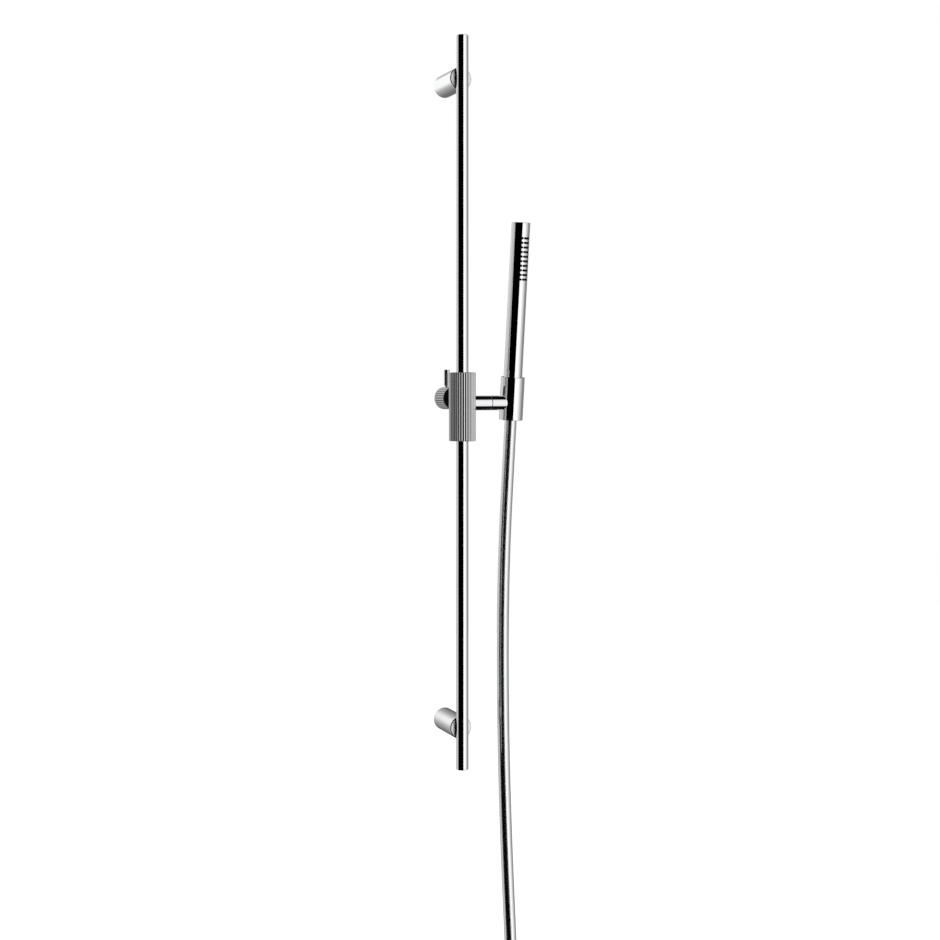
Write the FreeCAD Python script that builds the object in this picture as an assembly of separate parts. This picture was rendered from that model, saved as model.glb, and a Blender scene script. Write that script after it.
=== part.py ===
import FreeCAD
import Part
import math
import os

# Shower slide rail: a round rail on two wall stand-offs, a reeded slider with a clamp knob,
# a swivelling holder with a stick handset, and its hose. Millimetres, +Z up, wall plane at Y = 0,
# the rail stands out towards -Y, and Z = 0 is midway between the two wall fixings.

# Rail
RAIL_D = 15.0
RAIL_WALL = 1.5
RAIL_LENGTH = 900.0
RAIL_OVERHANG_TOP = 52.0
RAIL_OVERHANG_BOTTOM = 50.0
RAIL_CAP_HEAD = 2.0
RAIL_CAP_PLUG = 8.0
RAIL_CAP_ROUND = 0.8
RAIL_TO_WALL = 63.5

# Wall brackets
BRACKET_D = 28.0
BRACKET_FACE_SETBACK = 4.5
BRACKET_FRONT_ROUND = 1.8
BRACKET_WALL_CHAMFER = 0.5
BRACKET_BORE_D = 20.0
BRACKET_WEB = 14.0
SPIGOT_LENGTH = 26.0
WALL_HOLE_D = 5.5
WALL_SINK_D = 11.0
GRUB_Y = -13.0
GRUB_D = 5.0
GRUB_SOCKET = 2.5
SPIGOT_GROOVE_DEPTH = 1.0
SPIGOT_GROOVE_WIDTH = 5.4
RAIL_SCREW_D = 4.0
RAIL_SCREW_HEAD_D = 7.0
RAIL_SCREW_HEAD_H = 4.0
RAIL_SCREW_SOCKET = 3.0
RAIL_SCREW_PAST_AXIS = 1.5
INSERT_LENGTH = 16.0

# Slider
SLIDER_D = 33.0
SLIDER_LENGTH = 84.0
SLIDER_REST_Z = -4.5
SLIDER_REST_TURN = 10.0
SLIDER_RIBS = 32
RIB_DEPTH = 1.1
SLIDER_EDGE = 0.6
SLIDER_BORE_D = 16.4
BUSH_D = 19.4
BUSH_LENGTH = 14.0
END_RING_D = 22.0
END_RING_H = 3.0

# Clamp
CLAMP_UP = 10.4
SEAT_FROM_AXIS = 13.5
BOSS_D = 16.5
BOSS_THREAD_D = 12.0
SPINDLE_D = 8.0
SHOE_END = 11.2
KNOB_NEAR = 22.0
KNOB_LENGTH = 23.1
KNOB_D = 27.8
KNOB_RIBS = 28
KNOB_EDGE = 0.7
SPINDLE_IN_KNOB = 15.0
KNOB_WASHER_H = 0.8
KNOB_WASHER_D = 25.2
PIN_D = 7.2
PIN_NECK_D = 4.6
PIN_NECK_H = 1.6
PIN_OUT = 21.5
PIN_IN = 6.0
PIN_FROM_NEAR = 15.6

# Arm and pivot
ARM_UP = 4.5
ARM_D = 18.0
HOLDER_STUB = 33.7
ARM_STUD_D = 8.0
ARM_STUD_IN_SLIDER = 4.5
ARM_STUD_IN_ARM = 11.0
WASHER_H = 0.6
WASHER_D = 17.0
PIVOT_SCREW_D = 6.0
PIVOT_HEAD_D = 10.0
PIVOT_HEAD_H = 4.0
PIVOT_SPRING_H = 1.2
PIVOT_SPRING_D = 10.4
PIVOT_IN_ARM = 11.0

# Holder
HOLDER_OUT = 72.0
HOLDER_D = 29.6
HOLDER_UP = 32.3
HOLDER_DOWN = 21.1
HOLDER_BORE_D = 26.0
HOLDER_EDGE = 0.6
HOLDER_TILT = 5.5
PIVOT_SINK_BACK = 20.4
LINER_SETBACK = 0.8
LINER_LIP = 1.0

# Handset
HANDSET_D = 23.0
HANDSET_WALL = 1.5
HANDSET_ABOVE = 192.2
HANDSET_FOOT = 12.0
CAP_HEAD = 2.0
CAP_PLUG = 7.0
CAP_ROUND = 0.8
NOZZLE_ROWS = 10
NOZZLE_COLUMNS = 3
NOZZLE_PITCH = 5.65
NOZZLE_STEP_DEG = 19.5
NOZZLE_FROM_TOP = 19.4
NOZZLE_D = 2.6
NOZZLE_PROUD = 1.3
STRIP_WALL = 1.2
STRIP_MARGIN = 4.0
STRIP_HALF_DEG = 33.0
CORE_PAST_STRIP = 5.0
CORE_BORE_D = 9.0
INLET_PLUG = 12.0
THREAD_D = 20.9
THREAD_LENGTH = 9.0
INLET_BORE_D = 10.0

# Hose
HOSE_D = 15.0
HOSE_BORE_D = 9.0
CONE_NUT_FOOT_D = 19.0
CONE_NUT_LENGTH = 28.0
SEAL_H = 2.0
TAIL_FLANGE_H = 2.0
TAIL_FLANGE_D = 17.6
TAIL_LENGTH = 18.0
HOSE_STUB = 60.0
HOSE_STUB_GAP = 0.6
HOSE_ROUTE = [(16.2, -165.0), (20.4, -265.0), (20.0, -375.0), (16.4, -480.0), (9.0, -590.0), (0.5, -690.0)]
HANK_FOLD = 45.0
HANK_TOP = -745.0
HANK_BOTTOM = -890.0
HANK_FRONT_STEP = 24.0
HANK_END = -896.0
TIE_H = 12.0
TIE_WALL = 1.6
END_NUT_LENGTH = 18.0
END_NUT_D = 25.0
END_NUT_COLLAR = 9.0
END_NUT_FLATS = 23.0
END_THREAD_D = 18.7

# Clearances on the radius, or between flat faces
FIT = 0.05
RUN = 0.3
FLAT_GAP = 0.1
TURN_GAP = 0.5

# Worked out once from the values above
BRACKET_SPACING = RAIL_LENGTH - RAIL_OVERHANG_TOP - RAIL_OVERHANG_BOTTOM
RAIL_TOP = BRACKET_SPACING / 2 + RAIL_OVERHANG_TOP
RAIL_BOTTOM = RAIL_TOP - RAIL_LENGTH
BRACKET_FACE_Y = -RAIL_TO_WALL + BRACKET_FACE_SETBACK
WEB_Y = BRACKET_FACE_Y + BRACKET_WEB
HANDSET_TOP = HOLDER_UP + HANDSET_ABOVE
HANDSET_BORE_D = HANDSET_D - 2 * HANDSET_WALL
NUT_TOP = HANDSET_FOOT - FLAT_GAP
SEAL_TOP = HANDSET_FOOT - THREAD_LENGTH
TAIL_TOP = SEAL_TOP - SEAL_H
HOSE_TOP = TAIL_TOP - TAIL_FLANGE_H
ARM_END = HOLDER_OUT - HOLDER_STUB
PIVOT_SINK_FLOOR = HOLDER_OUT - PIVOT_SINK_BACK
STUB_FACE = ARM_END + WASHER_H + FLAT_GAP

X = FreeCAD.Vector(1, 0, 0)
Y = FreeCAD.Vector(0, 1, 0)
Z = FreeCAD.Vector(0, 0, 1)
ORIGIN = FreeCAD.Vector(0, 0, 0)


def vec(x, y, z):
    return FreeCAD.Vector(x, y, z)


def rod(diameter, start, end, axis, at=ORIGIN):
    """A cylinder along an axis from one distance to another."""
    return Part.makeCylinder(diameter / 2, end - start, at + axis * start, axis)


def ring(outer, inner, start, end, axis, at=ORIGIN):
    """A tube along an axis from one distance to another."""
    return rod(outer, start, end, axis, at).cut(rod(inner, start - 1, end + 1, axis, at))


def turned(profile, axis):
    """A solid turned about an axis through the origin, from (radius, distance) points."""
    across = X if axis != X else Y
    points = [across * r + axis * h for r, h in profile]
    wire = Part.makePolygon(points + [points[0]])
    return Part.Face(wire).revolve(ORIGIN, axis, 360)


def hexagon(flats, start, end, axis, at=ORIGIN):
    """A hexagonal prism along an axis."""
    across = X if axis != X else Y
    other = axis.cross(across)
    corner = flats / math.sqrt(3)
    points = []
    for k in range(7):
        a = math.radians(60 * k)
        points.append(at + axis * start + across * (corner * math.cos(a)) + other * (corner * math.sin(a)))
    return Part.Face(Part.makePolygon(points)).extrude(axis * (end - start))


def reeded(diameter, ribs, length, edge):
    """A bar along Z with convex ribs all round and chamfered ends."""
    top = diameter / 2
    valley = top - RIB_DEPTH
    step = 2 * math.pi / ribs
    edges = []
    for k in range(ribs):
        a, m, b = k * step, (k + 0.5) * step, (k + 1) * step
        start = vec(valley * math.cos(a), valley * math.sin(a), 0)
        middle = vec(top * math.cos(m), top * math.sin(m), 0)
        end = vec(valley * math.cos(b), valley * math.sin(b), 0)
        edges.append(Part.Arc(start, middle, end).toShape())
    bar = Part.Face(Part.Wire(edges)).extrude(Z * length)
    envelope = turned([(0, 0), (top - edge, 0), (top + 0.01, edge + 0.01),
                       (top + 0.01, length - edge - 0.01), (top - edge, length), (0, length)], Z)
    return bar.common(envelope)


def on_slider(shape):
    """Places a shape made about the rail axis and the slider's middle, arm along +X, at rest."""
    placed = shape.copy()
    placed.rotate(ORIGIN, Z, SLIDER_REST_TURN)
    placed.translate(vec(0, -RAIL_TO_WALL, SLIDER_REST_Z))
    return placed


def on_holder(shape):
    """Places a shape made about the holder's own axis and pivot, tilted forward at rest."""
    placed = shape.copy()
    placed.rotate(ORIGIN, X, HOLDER_TILT)
    placed.translate(vec(HOLDER_OUT, 0, ARM_UP))
    return on_slider(placed)


def rail_axis(shape):
    placed = shape.copy()
    placed.translate(vec(0, -RAIL_TO_WALL, 0))
    return placed


def rounded_end(diameter, start, end, radius):
    """A disc along Z whose far edge is rounded; the far end may lie above or below the start."""
    disc = rod(diameter, min(start, end), max(start, end), Z)
    edges = [e for e in disc.Edges if abs(e.BoundBox.ZMin - end) + abs(e.BoundBox.ZMax - end) < 1e-6]
    return disc.makeFillet(radius, edges)


def build_rail():
    tube = ring(RAIL_D, RAIL_D - 2 * RAIL_WALL, RAIL_BOTTOM + RAIL_CAP_HEAD, RAIL_TOP - RAIL_CAP_HEAD, Z)
    for z in (BRACKET_SPACING / 2, -BRACKET_SPACING / 2):
        tube = tube.cut(rod(RAIL_SCREW_D + 4 * FIT, 0, RAIL_D, Y, vec(0, 0, z)))
    plug_d = RAIL_D - 2 * RAIL_WALL - 2 * FIT
    top = rounded_end(RAIL_D, RAIL_TOP - RAIL_CAP_HEAD, RAIL_TOP, RAIL_CAP_ROUND)
    top = top.fuse(rod(plug_d, RAIL_TOP - RAIL_CAP_HEAD - RAIL_CAP_PLUG, RAIL_TOP - RAIL_CAP_HEAD, Z))
    low = rounded_end(RAIL_D, RAIL_BOTTOM + RAIL_CAP_HEAD, RAIL_BOTTOM, RAIL_CAP_ROUND)
    low = low.fuse(rod(plug_d, RAIL_BOTTOM + RAIL_CAP_HEAD, RAIL_BOTTOM + RAIL_CAP_HEAD + RAIL_CAP_PLUG, Z))
    inserts = []
    for z in (BRACKET_SPACING / 2, -BRACKET_SPACING / 2):
        slug = rod(plug_d, -INSERT_LENGTH / 2, INSERT_LENGTH / 2, Z, vec(0, 0, z))
        hole = rod(RAIL_SCREW_D + 2 * FIT, -RAIL_SCREW_PAST_AXIS - 1, RAIL_D, Y, vec(0, 0, z))
        inserts.append(rail_axis(slug.cut(hole)))
    return {"rail_tube": rail_axis(tube), "rail_top_cap": rail_axis(top), "rail_bottom_cap": rail_axis(low),
            "rail_nut_inserts": Part.makeCompound(inserts)}


def bracket_sleeve():
    """One stand-off sleeve about the Y axis, from the wall to its polished front face."""
    r = BRACKET_D / 2
    front = BRACKET_FACE_Y
    chamfer = BRACKET_WALL_CHAMFER
    body = rod(BRACKET_D, front, -chamfer, Y)
    edges = [e for e in body.Edges if abs(e.BoundBox.YMin - front) + abs(e.BoundBox.YMax - front) < 1e-6]
    body = body.makeFillet(BRACKET_FRONT_ROUND, edges)
    foot = turned([(0, -chamfer), (r, -chamfer), (r - chamfer, 0), (0, 0)], Y)
    body = body.fuse(foot).removeSplitter()
    body = body.cut(rod(BRACKET_BORE_D, WEB_Y, 1, Y))
    body = body.cut(rod(RAIL_SCREW_D + 2 * RUN, front - 1, WEB_Y + 1, Y))
    saddle = rod(RAIL_D + 2 * FIT, -BRACKET_D, BRACKET_D, Z, vec(0, -RAIL_TO_WALL, 0))
    return body.cut(saddle).cut(rod(GRUB_D + 2 * FIT, 0, BRACKET_D, -Z, vec(0, GRUB_Y, 0)))


def wall_spigot():
    """The boss that is screwed to the wall and that a sleeve slides over."""
    d = BRACKET_BORE_D - 2 * FLAT_GAP
    boss = rod(d, -SPIGOT_LENGTH, 0, Y)
    sink = (WALL_SINK_D - WALL_HOLE_D) / 2
    cone = turned([(0, -SPIGOT_LENGTH), (WALL_SINK_D / 2, -SPIGOT_LENGTH),
                   (WALL_HOLE_D / 2, -SPIGOT_LENGTH + sink), (0, -SPIGOT_LENGTH + sink)], Y)
    groove = ring(d + 2, d - 2 * SPIGOT_GROOVE_DEPTH, GRUB_Y - SPIGOT_GROOVE_WIDTH / 2,
                  GRUB_Y + SPIGOT_GROOVE_WIDTH / 2, Y)
    return boss.cut(rod(WALL_HOLE_D, -SPIGOT_LENGTH - 1, 1, Y)).cut(cone).cut(groove)


def grub_screw():
    """A set screw that comes up through the sleeve into the spigot's groove."""
    tip = BRACKET_BORE_D / 2 - FLAT_GAP - SPIGOT_GROOVE_DEPTH + FLAT_GAP
    head = BRACKET_D / 2 - 0.6
    screw = rod(GRUB_D, tip, head, -Z, vec(0, GRUB_Y, 0))
    return screw.cut(hexagon(GRUB_SOCKET, head - 2, head + 1, -Z, vec(0, GRUB_Y, 0)))


def rail_screw():
    """A cap screw from inside the sleeve, through its web and the tube, into the insert."""
    head = rod(RAIL_SCREW_HEAD_D, WEB_Y, WEB_Y + RAIL_SCREW_HEAD_H, Y)
    shank = rod(RAIL_SCREW_D, -RAIL_TO_WALL - RAIL_SCREW_PAST_AXIS, WEB_Y, Y)
    socket = hexagon(RAIL_SCREW_SOCKET, WEB_Y + RAIL_SCREW_HEAD_H / 2, WEB_Y + RAIL_SCREW_HEAD_H + 1, Y)
    return head.fuse(shank).cut(socket)


def build_brackets():
    found = {}
    screws, grubs = [], []
    for name, z in (("upper", BRACKET_SPACING / 2), ("lower", -BRACKET_SPACING / 2)):
        lift = vec(0, 0, z)
        for label, shape in ((name + "_bracket", bracket_sleeve()), (name + "_wall_spigot", wall_spigot())):
            shape.translate(lift)
            found[label] = shape
        screw, grub = rail_screw(), grub_screw()
        screw.translate(lift)
        grub.translate(lift)
        screws.append(screw)
        grubs.append(grub)
    found["rail_fixing_screws"] = Part.makeCompound(screws)
    found["bracket_grub_screws"] = Part.makeCompound(grubs)
    return found


def build_slider():
    half = SLIDER_LENGTH / 2
    body = reeded(SLIDER_D, SLIDER_RIBS, SLIDER_LENGTH, SLIDER_EDGE)
    body.translate(vec(0, 0, -half))
    body = body.cut(rod(SLIDER_BORE_D, -half - 1, half + 1, Z))
    seat_floor = half - END_RING_H - BUSH_LENGTH - 2 * TURN_GAP
    for side in (Z, -Z):
        body = body.cut(rod(BUSH_D + 2 * RUN, seat_floor, half + 1, side))
        body = body.cut(rod(END_RING_D + 2 * FIT, half - END_RING_H, half + 1, side))
    arm_at, clamp_at = vec(0, 0, ARM_UP), vec(0, 0, CLAMP_UP)
    body = body.cut(rod(ARM_D + 2 * FIT, SEAT_FROM_AXIS, SLIDER_D, X, arm_at))
    body = body.cut(rod(ARM_STUD_D + 2 * FIT, 0, SLIDER_D, X, arm_at))
    body = body.cut(rod(BOSS_D + 2 * FIT, SEAT_FROM_AXIS, SLIDER_D, Y, clamp_at))
    body = body.cut(rod(BOSS_THREAD_D + 2 * FIT, 0, SLIDER_D, Y, clamp_at))
    rings = []
    for side in (Z, -Z):
        rings.append(on_slider(ring(END_RING_D, RAIL_D + 4 * RUN, half - END_RING_H, half - FIT, side)))
    bush_z = seat_floor + TURN_GAP
    upper = ring(BUSH_D, RAIL_D + 2 * RUN, bush_z, bush_z + BUSH_LENGTH, Z)
    lower = ring(BUSH_D, RAIL_D + 2 * RUN, bush_z, bush_z + BUSH_LENGTH, -Z)
    return {"slider_body": on_slider(body), "slider_end_rings": Part.makeCompound(rings),
            "upper_glide_bush": on_slider(upper), "lower_glide_bush": on_slider(lower)}


def build_clamp():
    at = vec(0, 0, CLAMP_UP)
    inner = SLIDER_BORE_D / 2 + 0.4
    hole_d = SPINDLE_D + 2 * RUN
    washer_y = KNOB_NEAR - FLAT_GAP - KNOB_WASHER_H
    boss = rod(BOSS_D, SEAT_FROM_AXIS + FIT, washer_y - TURN_GAP, Y, at)
    boss = boss.fuse(rod(BOSS_THREAD_D, inner, SEAT_FROM_AXIS + FIT, Y, at))
    boss = boss.cut(rod(hole_d, 0, KNOB_NEAR, Y, at))
    shoe = rod(hole_d - 2 * FIT, 0, SHOE_END, Y, at)
    shoe = shoe.cut(rod(RAIL_D + 2 * RUN, -SLIDER_LENGTH, SLIDER_LENGTH, Z))
    knob = reeded(KNOB_D, KNOB_RIBS, KNOB_LENGTH, KNOB_EDGE)
    knob.rotate(ORIGIN, X, -90)
    knob.translate(vec(0, KNOB_NEAR, CLAMP_UP))
    spindle_end = KNOB_NEAR + SPINDLE_IN_KNOB
    pin_at = vec(0, KNOB_NEAR + PIN_FROM_NEAR, CLAMP_UP)
    flat = KNOB_D / 2
    knob = knob.cut(rod(SPINDLE_D + 2 * FIT, KNOB_NEAR - 1, spindle_end + FLAT_GAP, Y, at))
    knob = knob.cut(rod(PIN_NECK_D + 2 * FIT, flat - PIN_IN - FLAT_GAP, flat + 1, Z, pin_at))
    spindle = rod(SPINDLE_D, SHOE_END + TURN_GAP, spindle_end, Y, at)
    washer = ring(KNOB_WASHER_D, SPINDLE_D + 2 * FIT, washer_y, washer_y + KNOB_WASHER_H, Y, at)
    pin = rod(PIN_NECK_D, flat - PIN_IN, flat + PIN_NECK_H, Z, pin_at)
    bar = rounded_end(PIN_D, flat + PIN_NECK_H, flat + PIN_OUT, 0.8)
    bar.translate(pin_at)
    return {"clamp_boss": on_slider(boss), "brake_shoe": on_slider(shoe), "clamp_knob": on_slider(knob),
            "clamp_spindle": on_slider(spindle), "knob_washer": on_slider(washer),
            "lever_pin": on_slider(pin.fuse(bar))}


def build_arm():
    at = vec(0, 0, ARM_UP)
    stud_end = SEAT_FROM_AXIS + ARM_STUD_IN_ARM
    arm = rod(ARM_D, SEAT_FROM_AXIS + FIT, ARM_END, X, at)
    arm = arm.cut(rod(ARM_STUD_D + 2 * FIT, 0, stud_end + FLAT_GAP, X, at))
    arm = arm.cut(rod(PIVOT_SCREW_D + 2 * FIT, ARM_END - PIVOT_IN_ARM - 1, ARM_END + 1, X, at))
    stud = rod(ARM_STUD_D, SEAT_FROM_AXIS - ARM_STUD_IN_SLIDER, stud_end, X, at)
    washer = ring(WASHER_D, PIVOT_SCREW_D + 2 * FIT, ARM_END, ARM_END + WASHER_H, X, at)
    spring_x = PIVOT_SINK_FLOOR + FLAT_GAP
    head_x = spring_x + PIVOT_SPRING_H
    spring = ring(PIVOT_SPRING_D, PIVOT_SCREW_D + 2 * FIT, spring_x, head_x, X, at)
    screw = rod(PIVOT_SCREW_D, ARM_END - PIVOT_IN_ARM, head_x, X, at)
    screw = screw.fuse(rod(PIVOT_HEAD_D, head_x, head_x + PIVOT_HEAD_H, X, at))
    screw = screw.cut(hexagon(4, head_x + 2, head_x + PIVOT_HEAD_H + 1, X, at))
    return {"arm": on_slider(arm), "arm_stud": on_slider(stud), "pivot_washer": on_slider(washer),
            "pivot_spring_washer": on_slider(spring), "pivot_screw": on_slider(screw)}


def build_holder():
    r = HOLDER_D / 2
    e = HOLDER_EDGE
    cup = turned([(0, -HOLDER_DOWN), (r - e, -HOLDER_DOWN), (r, -HOLDER_DOWN + e), (r, HOLDER_UP - e),
                  (r - e, HOLDER_UP), (0, HOLDER_UP)], Z)
    stub = rod(ARM_D, STUB_FACE - HOLDER_OUT, -r / 2, X)
    cup = cup.fuse(stub).cut(rod(HOLDER_BORE_D, -HOLDER_DOWN - 1, HOLDER_UP + 1, Z))
    cup = cup.cut(rod(PIVOT_HEAD_D + 4 * RUN, PIVOT_SINK_FLOOR - HOLDER_OUT, 0, X))
    cup = cup.cut(rod(PIVOT_SCREW_D + 2 * RUN, -HOLDER_OUT, 0, X))
    outer = HOLDER_BORE_D / 2 - FIT
    easy = HANDSET_D / 2 + RUN
    foot = NUT_TOP - CONE_NUT_LENGTH
    slope = (HANDSET_D - CONE_NUT_FOOT_D) / 2 / CONE_NUT_LENGTH
    low = easy - slope * (HANDSET_FOOT + HOLDER_DOWN)
    rim = HOLDER_UP - LINER_SETBACK
    liner = turned([(low, -HOLDER_DOWN), (outer, -HOLDER_DOWN), (outer, rim), (easy + LINER_LIP / 2, rim),
                    (easy, rim - LINER_LIP), (easy, HANDSET_FOOT)], Z)
    print("cone nut foot at", round(foot, 2), "liner foot radius", round(low, 2))
    return {"holder_socket": on_holder(cup), "holder_liner": on_holder(liner)}


def build_handset():
    bore = HANDSET_BORE_D
    tube_top = HANDSET_TOP - CAP_HEAD
    tube = ring(HANDSET_D, bore, HANDSET_FOOT, tube_top, Z)
    first = HANDSET_TOP - NOZZLE_FROM_TOP
    last = first - (NOZZLE_ROWS - 1) * NOZZLE_PITCH
    strip_r = bore / 2 - FIT
    low, high = last - STRIP_MARGIN, first + STRIP_MARGIN
    half = math.radians(STRIP_HALF_DEG)
    wedge_r = 2 * bore
    side = wedge_r * math.sin(half)
    front = wedge_r * math.cos(half)
    wedge = Part.Face(Part.makePolygon([vec(0, 0, low), vec(side, -front, low), vec(-side, -front, low),
                                        vec(0, 0, low)])).extrude(Z * (high - low))
    strip = ring(2 * strip_r, 2 * (strip_r - STRIP_WALL), low, high, Z).common(wedge)
    holes, tips = [], []
    for row in range(NOZZLE_ROWS):
        for column in range(NOZZLE_COLUMNS):
            turn = math.radians((column - (NOZZLE_COLUMNS - 1) / 2) * NOZZLE_STEP_DEG)
            out = vec(math.sin(turn), -math.cos(turn), 0)
            at = vec(0, 0, first - row * NOZZLE_PITCH)
            holes.append(rod(NOZZLE_D + 2 * FIT, bore / 4, HANDSET_D, out, at))
            tips.append(rod(NOZZLE_D, strip_r - STRIP_WALL / 2, HANDSET_D / 2 + NOZZLE_PROUD, out, at))
    tube = tube.cut(Part.makeCompound(holes))
    strip = strip.multiFuse(tips)
    cap = rounded_end(HANDSET_D, tube_top, HANDSET_TOP, CAP_ROUND)
    cap = cap.fuse(rod(bore - 2 * FIT, tube_top - CAP_PLUG, tube_top, Z))
    core_low, core_high = low - CORE_PAST_STRIP, tube_top - CAP_PLUG - FLAT_GAP
    core = rod(bore - 2 * FIT, core_low, core_high, Z)
    pocket = ring(bore + 2, 2 * (strip_r - STRIP_WALL - FIT), low - FIT, high + FIT, Z)
    wide = Part.Face(Part.makePolygon([vec(0, FIT, low - FIT), vec(side, FIT - front, low - FIT),
                                       vec(-side, FIT - front, low - FIT), vec(0, FIT, low - FIT)]))
    core = core.cut(pocket.common(wide.extrude(Z * (high - low + 2 * FIT))))
    core = core.cut(rod(CORE_BORE_D, core_low - 1, high, Z))
    core = core.cut(Part.makeBox(2.0, bore, high - low - 4, vec(-1.0, -bore, low + 2)))
    inlet = rod(bore - 2 * FIT, HANDSET_FOOT, HANDSET_FOOT + INLET_PLUG, Z)
    inlet = inlet.fuse(rod(THREAD_D, SEAL_TOP, HANDSET_FOOT, Z)).cut(rod(INLET_BORE_D, 0, HANDSET_TOP, Z))
    return {"handset_tube": on_holder(tube), "handset_end_cap": on_holder(cap),
            "nozzle_strip": on_holder(strip), "spray_core": on_holder(core),
            "handset_inlet": on_holder(inlet)}


def hose_tail(top, flange_d, length):
    """A hose tail about Z: a flange on top of a barbed tube, with the waterway through it."""
    tail = rod(flange_d, top - TAIL_FLANGE_H, top, Z)
    tail = tail.fuse(rod(HOSE_BORE_D - 2 * FIT, top - TAIL_FLANGE_H - length, top - TAIL_FLANGE_H, Z))
    return tail.cut(rod(HOSE_BORE_D - 3, top - TAIL_FLANGE_H - length - 1, top + 1, Z))


def build_hose_top():
    foot = NUT_TOP - CONE_NUT_LENGTH
    nut = turned([(0, foot), (CONE_NUT_FOOT_D / 2, foot), (HANDSET_D / 2, NUT_TOP), (0, NUT_TOP)], Z)
    nut = nut.cut(rod(THREAD_D + 2 * FIT, HOSE_TOP, NUT_TOP + 1, Z))
    nut = nut.cut(rod(HOSE_D + 2 * FIT, foot - 1, HOSE_TOP + 1, Z))
    seal = ring(TAIL_FLANGE_D, INLET_BORE_D, TAIL_TOP, SEAL_TOP, Z)
    stub = ring(HOSE_D, HOSE_BORE_D, -HOSE_STUB, HOSE_TOP, Z)
    tail = hose_tail(TAIL_TOP, TAIL_FLANGE_D, TAIL_LENGTH)
    return {"hose_cone_nut": on_holder(nut), "hose_top_seal": on_holder(seal),
            "hose_top_tail": on_holder(tail), "hose_stub": on_holder(stub)}


def soft_path(points):
    """Straight runs joined by tangent arcs, each as large as its two runs allow; also the arcs' radii."""
    edges, radii = [], []
    start = points[0]
    for a, b, c in zip(points, points[1:], points[2:]):
        into, out = (b - a), (c - b)
        reach = 0.45 * min(into.Length, out.Length)
        into.normalize()
        out.normalize()
        turn = into.getAngle(out)
        radius = reach / math.tan(turn / 2)
        radii.append(radius)
        p, q = b - into * reach, b + out * reach
        inward = out - into
        inward.normalize()
        middle = b + inward * (radius / math.cos(turn / 2) - radius)
        edges.append(Part.LineSegment(start, p).toShape())
        edges.append(Part.Arc(p, middle, q).toShape())
        start = q
    edges.append(Part.LineSegment(start, points[-1]).toShape())
    return Part.Wire(edges), radii


def hank_solid(run_y):
    """The outer shape of the put-away length: two sides and folds, with the last run in front."""
    r = HOSE_D / 2
    near, far = HOLDER_OUT, HOLDER_OUT + 2 * HANK_FOLD
    middle = HOLDER_OUT + HANK_FOLD
    front = run_y - HANK_FRONT_STEP
    bend = vec(middle, 0, HANK_TOP)
    top = ring(2 * (HANK_FOLD + r), 2 * (HANK_FOLD - r), front - r, run_y + r, Y, bend)
    span = 4 * HANK_FOLD
    top = top.common(Part.makeBox(span, span, span, vec(middle - span / 2, -span / 2, HANK_TOP)))
    fold = vec(middle, 0, HANK_BOTTOM)
    low = ring(2 * (HANK_FOLD + r), 2 * (HANK_FOLD - r), run_y - r, run_y + r, Y, fold)
    low = low.common(Part.makeBox(span, span, span, vec(middle - span / 2, -span / 2, HANK_BOTTOM - span)))
    tall = HANK_TOP - HANK_BOTTOM
    first = Part.makeBox(HOSE_D, HOSE_D, tall, vec(near - r, run_y - r, HANK_BOTTOM))
    second = Part.makeBox(HOSE_D, HOSE_D, tall, vec(far - r, run_y - r, HANK_BOTTOM))
    third = Part.makeBox(HOSE_D, HOSE_D, HANK_TOP - HANK_END, vec(near - r, front - r, HANK_END))
    return top.multiFuse([low, first, second, third]).removeSplitter()


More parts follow.
